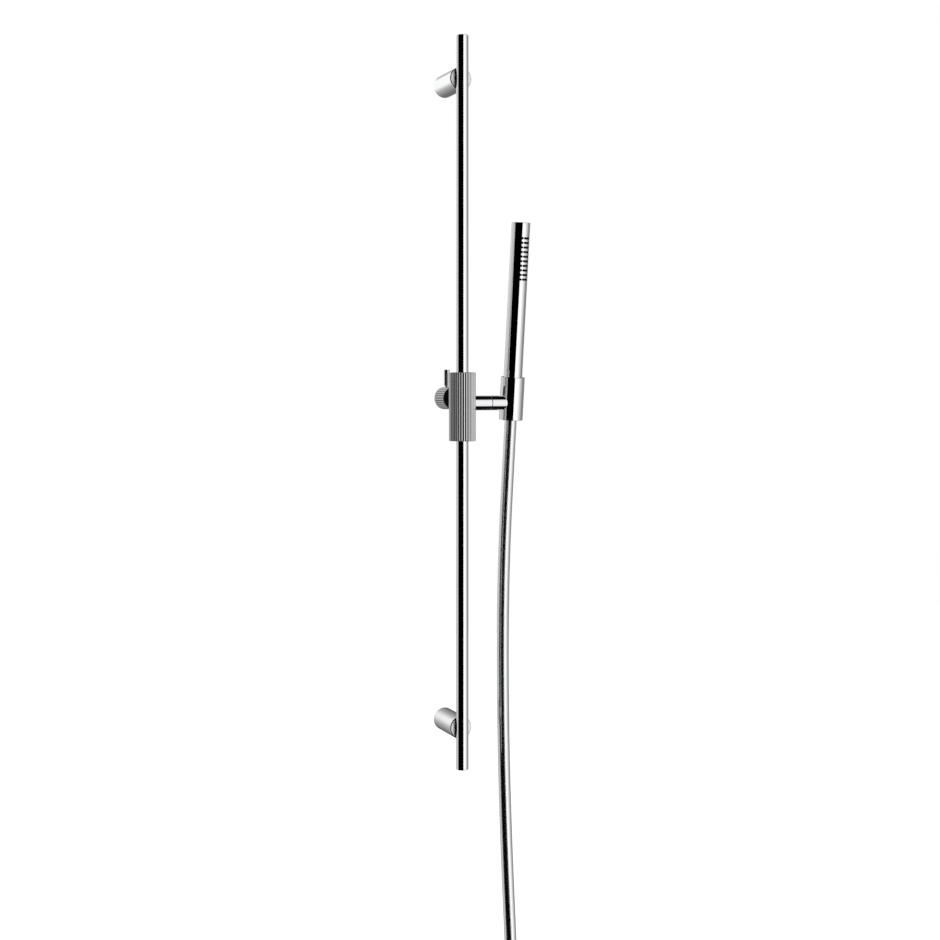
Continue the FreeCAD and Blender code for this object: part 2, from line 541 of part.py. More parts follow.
def build_hose():
    tilt = math.radians(HOLDER_TILT)
    down = HOSE_STUB + HOSE_STUB_GAP
    start = vec(HOLDER_OUT, down * math.sin(tilt), ARM_UP - down * math.cos(tilt))
    run_y = HOSE_ROUTE[-1][0]
    points = [start] + [vec(HOLDER_OUT, y, z) for y, z in HOSE_ROUTE] + [vec(HOLDER_OUT, run_y, HANK_TOP)]
    path, radii = soft_path(points)
    along = points[1] - points[0]
    outer, inner = [path.makePipe(Part.Face(Part.Wire(Part.makeCircle(d / 2, start, along))))
                    for d in (HOSE_D, HOSE_BORE_D)]
    tube = outer.cut(inner)
    area = math.pi / 4 * (HOSE_D ** 2 - HOSE_BORE_D ** 2)
    print("hose radii", [round(v) for v in radii], "length", round(path.Length, 1),
          "volume share", round(tube.Volume / (area * path.Length), 4))
    hank = hank_solid(run_y)
    tube = tube.cut(hank)
    if len(tube.Solids) > 1:
        tube = max(tube.Solids, key=lambda s: s.Volume)
    r = HOSE_D / 2
    front = run_y - HANK_FRONT_STEP
    wide, deep = 2 * HANK_FOLD + HOSE_D, HANK_FRONT_STEP + HOSE_D
    tie_z = (HANK_TOP + HANK_BOTTOM) / 2
    out = TIE_WALL + FIT
    corner = vec(HOLDER_OUT - r - out, front - r - out, tie_z)
    tie = Part.makeBox(wide + 2 * out, deep + 2 * out, TIE_H, corner)
    upright = [e for e in tie.Edges if abs(e.BoundBox.ZLength - TIE_H) < 1e-6]
    tie = tie.makeFillet(1.5, upright)
    tie = tie.cut(Part.makeBox(wide + 2 * FIT, deep + 2 * FIT, TIE_H + 2,
                               vec(HOLDER_OUT - r - FIT, front - r - FIT, tie_z - 1)))
    end = vec(HOLDER_OUT, front, HANK_END)
    tail = rod(HOSE_D + 1, 0, END_NUT_COLLAR, -Z, end)
    flange_z = END_NUT_COLLAR + 3.0
    tail = tail.fuse(rod(HOSE_D - 1, END_NUT_COLLAR, flange_z, -Z, end))
    tail = tail.fuse(rod(TAIL_FLANGE_D, flange_z, flange_z + TAIL_FLANGE_H, -Z, end))
    tail = tail.cut(rod(HOSE_BORE_D - 3, 1, flange_z + 10, -Z, end))
    seal_z = flange_z + TAIL_FLANGE_H
    seal = ring(TAIL_FLANGE_D, INLET_BORE_D, seal_z, seal_z + SEAL_H, -Z, end)
    nut_top = END_NUT_COLLAR + FLAT_GAP
    nut = rod(END_NUT_D, nut_top, nut_top + END_NUT_LENGTH, -Z, end)
    nut = nut.common(hexagon(END_NUT_FLATS, nut_top, nut_top + END_NUT_LENGTH, -Z, end))
    nut = nut.cut(rod(HOSE_D - 1 + 2 * RUN, 0, 100, -Z, end))
    nut = nut.cut(rod(TAIL_FLANGE_D + 2 * RUN, flange_z - FLAT_GAP, 100, -Z, end))
    thread_z = seal_z + SEAL_H + FLAT_GAP
    nut = nut.cut(rod(END_THREAD_D, thread_z, 100, -Z, end))
    print("end nut thread from", round(HANK_END - thread_z + SLIDER_REST_Z, 2),
          "to", round(HANK_END - nut_top - END_NUT_LENGTH + SLIDER_REST_Z, 2))
    return {"hose_tube": on_slider(tube), "hose_hank": on_slider(hank), "hose_tie": on_slider(tie),
            "hose_end_tail": on_slider(tail), "hose_end_seal": on_slider(seal),
            "hose_end_nut": on_slider(nut)}


os.makedirs("parts", exist_ok=True)
nodes = {}
for build in (build_rail, build_brackets, build_slider, build_clamp, build_arm, build_holder, build_handset,
              build_hose_top, build_hose):
    nodes.update(build())
for name, shape in nodes.items():
    if shape.ShapeType == "Compound" and len(shape.Solids) == 1:
        shape = shape.Solids[0]
    if not shape.isValid():
        print("not valid:", name)
    shape.exportStep("parts/" + name + ".step")
print(len(nodes), "nodes")
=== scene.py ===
import math

import bmesh
import bpy
from mathutils import Matrix, Vector


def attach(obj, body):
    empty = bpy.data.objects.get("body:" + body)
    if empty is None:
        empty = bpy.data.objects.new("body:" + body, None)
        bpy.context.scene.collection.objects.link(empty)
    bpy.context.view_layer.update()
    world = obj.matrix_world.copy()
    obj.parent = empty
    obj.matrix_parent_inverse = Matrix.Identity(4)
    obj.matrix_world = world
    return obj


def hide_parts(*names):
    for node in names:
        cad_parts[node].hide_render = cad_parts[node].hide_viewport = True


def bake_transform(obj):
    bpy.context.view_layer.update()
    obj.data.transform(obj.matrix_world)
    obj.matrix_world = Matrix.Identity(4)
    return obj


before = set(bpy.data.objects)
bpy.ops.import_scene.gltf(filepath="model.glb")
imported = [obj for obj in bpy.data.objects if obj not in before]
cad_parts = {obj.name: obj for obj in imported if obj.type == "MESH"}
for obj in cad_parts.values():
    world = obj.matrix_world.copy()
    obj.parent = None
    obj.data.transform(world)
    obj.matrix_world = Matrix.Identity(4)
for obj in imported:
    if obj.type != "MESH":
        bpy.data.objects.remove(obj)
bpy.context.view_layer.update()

# Rail: a 15 mm drawn brass tube, polished and chromed, with a push-in cap at each end.
# The tube runs straight from cap to cap, and the caps' outer edges are lightly rounded.
RAIL_R = 7.5
RAIL_WALL = 1.5
RAIL_TOP = 451.0
RAIL_BOTTOM = -449.0
CAP_HEAD = 2.0
CAP_PLUG_R = 5.95
CAP_PLUG_DEPTH = 8
CREASE = 38
RAIL_Y = -0.0635
ON_RAIL = Matrix.Translation((0, RAIL_Y, 0))


def sums_in(tree):
    """Gives a function that adds a Math node to the tree and returns its output."""
    def sum_of(operation, *values):
        node = tree.nodes.new("ShaderNodeMath")
        node.operation = operation
        for socket, value in zip(node.inputs, values):
            if isinstance(value, (int, float)):
                socket.default_value = value
            else:
                tree.links.new(value, socket)
        return node.outputs[0]
    return sum_of


def turning_tree():
    """Turns an outline of (radius, height) points about Z, with reeds or flats cut along it."""
    tree = bpy.data.node_groups.new("turned_piece", "GeometryNodeTree")
    face = tree.interface
    face.new_socket("Outline", in_out="INPUT", socket_type="NodeSocketGeometry")
    for name, kind, value in (("Segments", "Int", 96), ("Reeds", "Int", 1), ("Reed depth", "Float", 0.0),
                              ("Reed radius", "Float", 1.0), ("Flats", "Int", 6),
                              ("Across flats", "Float", 2.0)):
        face.new_socket(name, in_out="INPUT", socket_type="NodeSocket" + kind).default_value = value
    face.new_socket("Finish", in_out="INPUT", socket_type="NodeSocketMaterial")
    face.new_socket("Piece", in_out="OUTPUT", socket_type="NodeSocketGeometry")
    nodes, links = tree.nodes, tree.links
    given = nodes.new("NodeGroupInput")
    result = nodes.new("NodeGroupOutput")
    sum_of = sums_in(tree)
    count = nodes.new("GeometryNodeAttributeDomainSize")
    links.new(given.outputs["Outline"], count.inputs[0])
    around = sum_of("ADD", given.outputs["Segments"], 1)
    grid = nodes.new("GeometryNodeMeshGrid")
    links.new(count.outputs["Point Count"], grid.inputs["Vertices X"])
    links.new(around, grid.inputs["Vertices Y"])
    index = nodes.new("GeometryNodeInputIndex").outputs[0]
    row = sum_of("FLOOR", sum_of("DIVIDE", sum_of("ADD", index, 0.25), around))
    column = sum_of("SUBTRACT", index, sum_of("MULTIPLY", row, around))
    place = nodes.new("GeometryNodeInputPosition")
    sample = nodes.new("GeometryNodeSampleIndex")
    sample.data_type = "FLOAT_VECTOR"
    links.new(given.outputs["Outline"], sample.inputs["Geometry"])
    links.new(place.outputs[0], sample.inputs["Value"])
    links.new(row, sample.inputs["Index"])
    outline = nodes.new("ShaderNodeSeparateXYZ")
    links.new(sample.outputs[0], outline.inputs[0])
    turn = sum_of("DIVIDE", column, given.outputs["Segments"])
    angle = sum_of("MULTIPLY", turn, 2 * math.pi)
    reed_share = sum_of("FRACT", sum_of("MULTIPLY", turn, given.outputs["Reeds"]))
    across = sum_of("MULTIPLY_ADD", reed_share, 2.0, -1.0)
    deep = given.outputs["Reed depth"]
    half = sum_of("DIVIDE", sum_of("MULTIPLY", given.outputs["Reed radius"], math.pi), given.outputs["Reeds"])
    chord = sum_of("ADD", sum_of("POWER", half, 2.0), sum_of("POWER", deep, 2.0))
    bow = sum_of("DIVIDE", chord, sum_of("ADD", deep, deep))
    off = sum_of("MULTIPLY", across, half)
    rest = sum_of("SUBTRACT", sum_of("MULTIPLY", bow, bow), sum_of("MULTIPLY", off, off))
    sink = sum_of("SUBTRACT", bow, sum_of("SQRT", sum_of("MAXIMUM", rest, 0.0)))
    reed = sum_of("SUBTRACT", given.outputs["Reed radius"], sink)
    flat_share = sum_of("FRACT", sum_of("MULTIPLY", turn, given.outputs["Flats"]))
    side = sum_of("MULTIPLY_ADD", flat_share, 2.0, -1.0)
    slant = sum_of("DIVIDE", sum_of("MULTIPLY", side, math.pi), given.outputs["Flats"])
    flat = sum_of("DIVIDE", sum_of("MULTIPLY", given.outputs["Across flats"], 0.5), sum_of("COSINE", slant))
    radius = sum_of("MINIMUM", outline.outputs["X"], sum_of("MINIMUM", reed, flat))
    point = nodes.new("ShaderNodeCombineXYZ")
    links.new(sum_of("MULTIPLY", radius, sum_of("COSINE", angle)), point.inputs["X"])
    links.new(sum_of("MULTIPLY", radius, sum_of("SINE", angle)), point.inputs["Y"])
    links.new(outline.outputs["Z"], point.inputs["Z"])
    moved = nodes.new("GeometryNodeSetPosition")
    links.new(grid.outputs["Mesh"], moved.inputs["Geometry"])
    links.new(point.outputs[0], moved.inputs["Position"])
    closed = nodes.new("GeometryNodeMergeByDistance")
    closed.inputs["Distance"].default_value = 2e-6
    links.new(moved.outputs[0], closed.inputs["Geometry"])
    realized = nodes.new("GeometryNodeRealizeInstances")
    links.new(closed.outputs[0], realized.inputs[0])
    painted = nodes.new("GeometryNodeSetMaterial")
    links.new(realized.outputs[0], painted.inputs["Geometry"])
    links.new(given.outputs["Finish"], painted.inputs["Material"])
    links.new(painted.outputs[0], result.inputs["Piece"])
    return tree


def set_inputs(modifier, values):
    for socket in modifier.node_group.interface.items_tree:
        if socket.in_out == "INPUT" and socket.name in values:
            modifier[socket.identifier] = values[socket.name]


def as_plain_mesh(piece):
    """Keeps what the piece's node tree makes, and takes the modifier off."""
    shown = piece.evaluated_get(bpy.context.evaluated_depsgraph_get())
    mesh = bpy.data.meshes.new_from_object(shown)
    piece.modifiers.clear()
    piece.data = mesh
    mesh.name = piece.name


def true_faces(mesh, crease=CREASE):
    """Points the faces outwards and shades them smooth, apart from edges sharper than the crease."""
    shape = bmesh.new()
    shape.from_mesh(mesh)
    bmesh.ops.dissolve_degenerate(shape, dist=1e-7, edges=shape.edges)
    bmesh.ops.recalc_face_normals(shape, faces=shape.faces)
    for face in shape.faces:
        face.smooth = True
    shape.to_mesh(mesh)
    shape.free()
    mesh.set_sharp_from_angle(angle=math.radians(crease))


def eased(corners):
    """An outline in mm from (radius, height, round) corners, each round drawn with a few points.

    A further point just before and after each round keeps the surfaces beside it evenly shaded.
    """
    hold = 0.04
    points = []
    for k, (r, z, ease) in enumerate(corners):
        here = Vector((r, z))
        if not ease:
            points.append(here)
            continue
        back = (Vector(corners[k - 1][:2]) - here).normalized()
        on = (Vector(corners[(k + 1) % len(corners)][:2]) - here).normalized()
        points.append(here + back * (ease + hold))
        for t in (0.0, 0.2, 0.4, 0.6, 0.8, 1.0):
            points.append(here + back * ease * (1 - t) ** 2 + on * ease * t ** 2)
        points.append(here + on * (ease + hold))
    return points


def turned(name, corners, finish, place, closed=True, **cuts):
    """One turned piece from its outline in mm, put in its place in the mesh."""
    outline = eased(corners)
    if closed:
        outline.append(outline[0])
    mesh = bpy.data.meshes.new(name)
    mesh.from_pydata([(p.x / 1000, 0, p.y / 1000) for p in outline],
                     [(k, k + 1) for k in range(len(outline) - 1)], [])
    piece = bpy.data.objects.new(name, mesh)
    bpy.context.collection.objects.link(piece)
    modifier = piece.modifiers.new("turning", "NODES")
    modifier.node_group = turning
    set_inputs(modifier, {"Segments": 96, "Reeds": 1, "Reed depth": 0.0, "Reed radius": 1.0, "Flats": 6,
                          "Across flats": 2.0, "Finish": finish, **cuts})
    as_plain_mesh(piece)
    true_faces(piece.data)
    piece.data.transform(place)
    return piece


def polish_group():
    """Roughness and a fine height for a polished or drawn surface, from soft haze and hair lines."""
    group = bpy.data.node_groups.new("polish_marks", "ShaderNodeTree")
    face = group.interface
    for name, value in (("Low", 0.03), ("High", 0.08), ("Haze scale", 60.0), ("Line scale", 900.0)):
        face.new_socket(name, in_out="INPUT", socket_type="NodeSocketFloat").default_value = value
    face.new_socket("Roughness", in_out="OUTPUT", socket_type="NodeSocketFloat")
    face.new_socket("Height", in_out="OUTPUT", socket_type="NodeSocketFloat")
    nodes, links = group.nodes, group.links
    given, result = nodes.new("NodeGroupInput"), nodes.new("NodeGroupOutput")
    where = nodes.new("ShaderNodeTexCoord")
    haze = nodes.new("ShaderNodeTexNoise")
    haze.inputs["Detail"].default_value = 4.0
    links.new(where.outputs["Object"], haze.inputs["Vector"])
    links.new(given.outputs["Haze scale"], haze.inputs["Scale"])
    stretch = nodes.new("ShaderNodeMapping")
    stretch.inputs["Scale"].default_value = (1.0, 1.0, 0.04)
    links.new(where.outputs["Object"], stretch.inputs["Vector"])
    line = nodes.new("ShaderNodeTexNoise")
    line.inputs["Detail"].default_value = 2.0
    links.new(stretch.outputs[0], line.inputs["Vector"])
    links.new(given.outputs["Line scale"], line.inputs["Scale"])
    both = nodes.new("ShaderNodeMath")
    both.operation = "MULTIPLY"
    links.new(haze.outputs["Fac"], both.inputs[0])
    links.new(line.outputs["Fac"], both.inputs[1])
    spread = nodes.new("ShaderNodeMapRange")
    spread.inputs["From Min"].default_value = 0.12
    spread.inputs["From Max"].default_value = 0.45
    links.new(both.outputs[0], spread.inputs["Value"])
    links.new(given.outputs["Low"], spread.inputs["To Min"])
    links.new(given.outputs["High"], spread.inputs["To Max"])
    links.new(spread.outputs[0], result.inputs["Roughness"])
    links.new(line.outputs["Fac"], result.inputs["Height"])
    return group


def metal(name, colour, low, high, haze=60.0, lines=900.0, bump=0.0):
    finish = bpy.data.materials.new(name)
    finish.use_nodes = True
    nodes, links = finish.node_tree.nodes, finish.node_tree.links
    shader = nodes["Principled BSDF"]
    shader.inputs["Base Color"].default_value = (*colour, 1)
    shader.inputs["Metallic"].default_value = 1.0
    marks = nodes.new("ShaderNodeGroup")
    marks.node_tree = polish
    for socket, value in (("Low", low), ("High", high), ("Haze scale", haze), ("Line scale", lines)):
        marks.inputs[socket].default_value = value
    links.new(marks.outputs["Roughness"], shader.inputs["Roughness"])
    if bump:
        raised = nodes.new("ShaderNodeBump")
        raised.inputs["Strength"].default_value = bump
        raised.inputs["Distance"].default_value = 0.0002
        links.new(marks.outputs["Height"], raised.inputs["Height"])
        links.new(raised.outputs[0], shader.inputs["Normal"])
    return finish


def chromed(name):
    return metal(name, (0.86, 0.865, 0.875), 0.012, 0.026, haze=35.0, lines=500.0)


def groove_group():
    """How deep a point lies in the reeds, from 0 on the crests to 1 in the grooves, about a piece's axis."""
    group = bpy.data.node_groups.new("groove_depth", "ShaderNodeTree")
    face = group.interface
    for name, kind in (("Axis place", "Vector"), ("Axis turn", "Vector"), ("Crest radius", "Float"),
                       ("Groove radius", "Float")):
        face.new_socket(name, in_out="INPUT", socket_type="NodeSocket" + kind)
    face.new_socket("Depth", in_out="OUTPUT", socket_type="NodeSocketFloat")
    nodes, links = group.nodes, group.links
    given, result = nodes.new("NodeGroupInput"), nodes.new("NodeGroupOutput")
    where = nodes.new("ShaderNodeTexCoord")
    along = nodes.new("ShaderNodeMapping")
    along.vector_type = "TEXTURE"
    links.new(where.outputs["Object"], along.inputs["Vector"])
    links.new(given.outputs["Axis place"], along.inputs["Location"])
    links.new(given.outputs["Axis turn"], along.inputs["Rotation"])
    flat = nodes.new("ShaderNodeVectorMath")
    flat.operation = "MULTIPLY"
    flat.inputs[1].default_value = (1, 1, 0)
    links.new(along.outputs[0], flat.inputs[0])
    radius = nodes.new("ShaderNodeVectorMath")
    radius.operation = "LENGTH"
    links.new(flat.outputs[0], radius.inputs[0])
    depth = nodes.new("ShaderNodeMapRange")
    links.new(radius.outputs["Value"], depth.inputs["Value"])
    links.new(given.outputs["Crest radius"], depth.inputs["From Min"])
    links.new(given.outputs["Groove radius"], depth.inputs["From Max"])
    links.new(depth.outputs[0], result.inputs["Depth"])
    return group


turning = turning_tree()
polish = polish_group()
chrome = chromed("chrome")
rail = turned("rail_chrome_tube",
              [(RAIL_R - RAIL_WALL, RAIL_BOTTOM + CAP_HEAD, 0), (RAIL_R, RAIL_BOTTOM + CAP_HEAD, 0.06),
               (RAIL_R, RAIL_TOP - CAP_HEAD, 0.06), (RAIL_R - RAIL_WALL, RAIL_TOP - CAP_HEAD, 0)],
              chrome, ON_RAIL, Segments=128)
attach(rail, "rail")
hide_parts("rail_tube")
for node, end, way in (("rail_top_cap", RAIL_TOP, 1), ("rail_bottom_cap", RAIL_BOTTOM, -1)):
    seat = end - way * CAP_HEAD
    plug_end = seat - way * CAP_PLUG_DEPTH
    cap = turned(node + "_turned",
                 [(0, end, 0), (RAIL_R, end, 0.8), (RAIL_R, seat, 0.06), (CAP_PLUG_R, seat, 0),
                  (CAP_PLUG_R, plug_end, 0.4), (0, plug_end, 0)],
                 chrome, ON_RAIL, closed=False, Segments=128)
    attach(cap, "rail")
    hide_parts(node)

# Wall brackets: two turned chromed sleeves that stand the rail 63.5 mm off the wall.
# The rail sits in a saddle across each flat front face, and the wall end covers the spigot.
BRACKET_R = 14.0
BRACKET_FACE = 59.0
BRACKET_UP = 0.399
SPIGOT_BORE_R = 10.0
SPIGOT_BORE_END = BRACKET_FACE - 14
TO_WALL_AXIS = Matrix.Rotation(math.radians(-90), 4, "X")
turned_face = metal("chrome_turned_face", (0.80, 0.805, 0.815), 0.36, 0.42)


def face_off(piece, way, finish):
    """Gives the flat faces that point one way a finish of their own."""
    piece.data.materials.append(finish)
    for side in piece.data.polygons:
        if side.normal.dot(way) > 0.99:
            side.material_index = len(piece.data.materials) - 1
            side.use_smooth = False


for node, height in (("upper_bracket", BRACKET_UP), ("lower_bracket", -BRACKET_UP)):
    sleeve = turned(node + "_sleeve",
                    [(0, -BRACKET_FACE, 0), (BRACKET_R, -BRACKET_FACE, 1.8), (BRACKET_R, 0, 0.5),
                     (SPIGOT_BORE_R, 0, 0.2), (SPIGOT_BORE_R, -SPIGOT_BORE_END, 0), (0, -SPIGOT_BORE_END, 0)],
                    chrome, Matrix.Translation((0, 0, height)) @ TO_WALL_AXIS, closed=False, Segments=128)
    face_off(sleeve, Vector((0, -1, 0)), turned_face)
    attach(sleeve, "rail")
    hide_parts(node)

# Fixings inside the brackets and the rail: zinc-coated steel screws and spigots, and brass nuts.
# Only the small set screw under each sleeve is seen, and the spigots from the wall side.
steel = metal("zinc_steel", (0.56, 0.56, 0.57), 0.24, 0.42, haze=140.0, lines=1500.0, bump=0.15)
brass = metal("turned_brass", (0.78, 0.60, 0.30), 0.18, 0.32, haze=110.0, lines=1800.0, bump=0.15)


def finish_nodes(finish, *names):
    for name in names:
        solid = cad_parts[name]
        solid.data.materials.clear()
        solid.data.materials.append(finish)


finish_nodes(steel, "upper_wall_spigot", "lower_wall_spigot", "rail_fixing_screws", "bracket_grub_screws")
finish_nodes(brass, "rail_nut_inserts")

# Slider: a chromed brass barrel, reeded from end to end for grip, bored to run on the rail.
# The grooves are darker with painted shade in the chrome's colour, and a plain ring closes each end.
# The reeds are turned a little from those of the solid, so that they stand as in the photograph.
SLIDER_R = 16.5
SLIDER_HALF = 42.0
SLIDER_REEDS = 32
SLIDER_CHAMFER = 0.6
REED_DEPTH = 1.1
REED_TURN = 4.5
REED_SEGMENTS = 12
END_RING_R = 11.0
END_RING_BORE_R = 8.1
END_RING_SEAT = SLIDER_HALF - 3
RING_FIT = 0.05
END_RING_FACE = SLIDER_HALF - RING_FIT
SLIDER_UP = -0.0045
SLIDER_TURN = 10
ON_SLIDER = Matrix.Translation((0, RAIL_Y, SLIDER_UP)) @ Matrix.Rotation(math.radians(SLIDER_TURN), 4, "Z")
# The groove depth sets where painted shade darkens the reeded chrome.
groove = groove_group()


def chrome_painted_groove_shade(name, axis, crest, shine, shade):
    """Chrome with painted shade, going from one grey on the crests to a darker one in the grooves about one
    axis.
    """
    finish = chromed(name)
    nodes, links = finish.node_tree.nodes, finish.node_tree.links
    shader = nodes["Principled BSDF"]
    depth = nodes.new("ShaderNodeGroup")
    depth.node_tree = groove
    depth.inputs["Axis place"].default_value = axis.to_translation()
    depth.inputs["Axis turn"].default_value = axis.to_euler()
    depth.inputs["Crest radius"].default_value = crest / 1000
    depth.inputs["Groove radius"].default_value = (crest - REED_DEPTH) / 1000
    # Painted shade: the chrome's colour goes darker with the depth in the grooves.
    darkened = nodes.new("ShaderNodeMix")
    darkened.data_type = "RGBA"
    darkened.inputs["A"].default_value = (shine, shine, shine, 1)
    darkened.inputs["B"].default_value = (shade, shade, shade, 1)
    links.new(depth.outputs["Depth"], darkened.inputs["Factor"])
    links.new(darkened.outputs["Result"], shader.inputs["Base Color"])
    return finish


barrel = turned("slider_reeded_barrel",
                [(END_RING_R + RING_FIT, -SLIDER_HALF, 0), (SLIDER_R - SLIDER_CHAMFER, -SLIDER_HALF, 0.1),
                 (SLIDER_R, -SLIDER_HALF + SLIDER_CHAMFER, 0.1),
                 (SLIDER_R, SLIDER_HALF - SLIDER_CHAMFER, 0.1),
                 (SLIDER_R - SLIDER_CHAMFER, SLIDER_HALF, 0.1), (END_RING_R + RING_FIT, SLIDER_HALF, 0)],
                chrome_painted_groove_shade("reeded_chrome_barrel", ON_SLIDER, SLIDER_R, shine=0.90, shade=0.06),
                ON_SLIDER @ Matrix.Rotation(math.radians(REED_TURN), 4, "Z"),
                Segments=SLIDER_REEDS * REED_SEGMENTS, Reeds=SLIDER_REEDS,
                **{"Reed depth": REED_DEPTH / 1000, "Reed radius": SLIDER_R / 1000})
face_off(barrel, Vector((0, 0, 1)), chrome)
face_off(barrel, Vector((0, 0, -1)), chrome)
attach(barrel, "slider")
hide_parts("slider_body")
rings = turned("slider_end_ring_pair",
               [(END_RING_BORE_R, END_RING_SEAT, 0), (END_RING_R, END_RING_SEAT, 0),
                (END_RING_R, END_RING_FACE, 0.15), (END_RING_BORE_R, END_RING_FACE, 0.4)],
               chrome, Matrix.Identity(4))
lower_ring = rings.data.copy()
lower_ring.transform(Matrix.Rotation(math.pi, 4, "X"))
pair = bmesh.new()
pair.from_mesh(rings.data)
pair.from_mesh(lower_ring)
pair.to_mesh(rings.data)
pair.free()
bpy.data.meshes.remove(lower_ring)
rings.data.set_sharp_from_angle(angle=math.radians(CREASE))
rings.data.transform(ON_SLIDER)
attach(rings, "slider")
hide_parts("slider_end_rings")


# Glide bushes and brake shoe: moulded natural nylon, inside the barrel against the rail.
# The bushes let the slider turn and slide, and the shoe is pressed on the rail by the clamp.
def moulded(name, colour, low, high, scale, gloss=0.5):
    finish = bpy.data.materials.new(name)
    finish.use_nodes = True
    nodes, links = finish.node_tree.nodes, finish.node_tree.links
    shader = nodes["Principled BSDF"]
    shader.inputs["Base Color"].default_value = (*colour, 1)
    shader.inputs["Specular IOR Level"].default_value = gloss
    where = nodes.new("ShaderNodeTexCoord")
    grain = nodes.new("ShaderNodeTexNoise")
    grain.inputs["Scale"].default_value = scale
    grain.inputs["Detail"].default_value = 5.0
    links.new(where.outputs["Object"], grain.inputs["Vector"])
    spread = nodes.new("ShaderNodeMapRange")
    spread.inputs["To Min"].default_value = low
    spread.inputs["To Max"].default_value = high
    links.new(grain.outputs["Fac"], spread.inputs["Value"])
    links.new(spread.outputs[0], shader.inputs["Roughness"])
    raised = nodes.new("ShaderNodeBump")
    raised.inputs["Strength"].default_value = 0.2
    raised.inputs["Distance"].default_value = 0.0002
    links.new(grain.outputs["Fac"], raised.inputs["Height"])
    links.new(raised.outputs[0], shader.inputs["Normal"])
    return finish


nylon = moulded("natural_nylon", (0.82, 0.81, 0.77), 0.35, 0.55, 900.0)
black_nylon = moulded("black_nylon", (0.006, 0.006, 0.0065), 0.45, 0.6, 1100.0, gloss=0.2)
finish_nodes(nylon, "upper_glide_bush", "lower_glide_bush", "brake_shoe")

# Clamp: a boss screwed into the barrel, and behind it a black washer and a reeded knob with a lever pin.
# Half a turn of the knob drives its spindle and the shoe against the rail.
KNOB_NEAR = 22.0
KNOB_FAR = KNOB_NEAR + 23.1
KNOB_R = 13.9
KNOB_REEDS = 28
KNOB_CHAMFER = 0.7
WASHER_NEAR = KNOB_NEAR - 0.9
WASHER_FAR = WASHER_NEAR + 0.8
WASHER_R = 12.6
WASHER_BORE_R = 4.05
BOSS_R = 8.25
BOSS_BORE_R = 4.3
BOSS_FACE = WASHER_NEAR - 0.5
BARREL_SEAT = 13.55
PIN_R = 3.6
PIN_SHANK_R = 2.3
PIN_FOOT = KNOB_R - 6
PIN_SHOULDER = KNOB_R + 1.6
PIN_TOP = KNOB_R + 21.5
PIN_FROM_NEAR = 15.6
CLAMP_UP = 10.4
CLAMP_AXIS = ON_SLIDER @ Matrix.Translation((0, 0, CLAMP_UP / 1000)) @ TO_WALL_AXIS
PIN_AXIS = ON_SLIDER @ Matrix.Translation((0, (KNOB_NEAR + PIN_FROM_NEAR) / 1000, CLAMP_UP / 1000))
boss = turned("clamp_boss_turned", [(BOSS_BORE_R, BARREL_SEAT, 0), (BOSS_R, BARREL_SEAT, 0),
                                    (BOSS_R, BOSS_FACE, 0.3), (BOSS_BORE_R, BOSS_FACE, 0)],
              chrome, CLAMP_AXIS)
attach(boss, "slider")
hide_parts("clamp_boss")
# The knob carries painted shade: its crests are a darker grey than the plain chrome, and its grooves near
# black.
knob = turned("clamp_reeded_knob",
              [(0, KNOB_NEAR, 0), (KNOB_R - KNOB_CHAMFER, KNOB_NEAR, 0.1),
               (KNOB_R, KNOB_NEAR + KNOB_CHAMFER, 0.1), (KNOB_R, KNOB_FAR - KNOB_CHAMFER, 0.1),
               (KNOB_R - KNOB_CHAMFER, KNOB_FAR, 0.1), (0, KNOB_FAR, 0)],
              chrome_painted_groove_shade("reeded_chrome_knob", CLAMP_AXIS, KNOB_R, shine=0.61, shade=0.04),
              CLAMP_AXIS, closed=False,
              Segments=KNOB_REEDS * REED_SEGMENTS, Reeds=KNOB_REEDS,
              **{"Reed depth": REED_DEPTH / 1000, "Reed radius": KNOB_R / 1000})
face_off(knob, CLAMP_AXIS.to_3x3() @ Vector((0, 0, 1)), chrome)
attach(knob, "clamp")
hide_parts("clamp_knob")
thrust = turned("clamp_thrust_washer", [(WASHER_BORE_R, WASHER_NEAR, 0), (WASHER_R, WASHER_NEAR, 0.15),
                                        (WASHER_R, WASHER_FAR, 0.15), (WASHER_BORE_R, WASHER_FAR, 0)],
                black_nylon, CLAMP_AXIS)
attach(thrust, "clamp")
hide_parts("knob_washer")
pin = turned("clamp_lever_bar", [(0, PIN_FOOT, 0), (PIN_SHANK_R, PIN_FOOT, 0), (PIN_SHANK_R, PIN_SHOULDER, 0),
                                 (PIN_R, PIN_SHOULDER, 0.25), (PIN_R, PIN_TOP, 0.8), (0, PIN_TOP, 0)],
             chrome, PIN_AXIS, closed=False, Segments=64)
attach(pin, "clamp")
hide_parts("lever_pin")
finish_nodes(steel, "clamp_spindle")

# Arm: a chromed bar from the barrel to the holder, with a black washer at the tilting joint.
# The pivot screw and its spring washer are inside, under the handset.
ARM_R = 9.0
ARM_END = 38.3
ARM_UP = 0.0045
SIDEWAYS = Matrix.Rotation(math.radians(90), 4, "Y")
ALONG_ARM = ON_SLIDER @ Matrix.Translation((0, 0, ARM_UP)) @ SIDEWAYS
arm = turned("arm_turned",
             [(0, BARREL_SEAT, 0), (ARM_R, BARREL_SEAT, 0), (ARM_R, ARM_END, 0.3), (0, ARM_END, 0)],
             chrome, ALONG_ARM, closed=False, Segments=128)
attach(arm, "slider")
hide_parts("arm")
finish_nodes(black_nylon, "pivot_washer")
finish_nodes(steel, "arm_stud", "pivot_screw", "pivot_spring_washer")

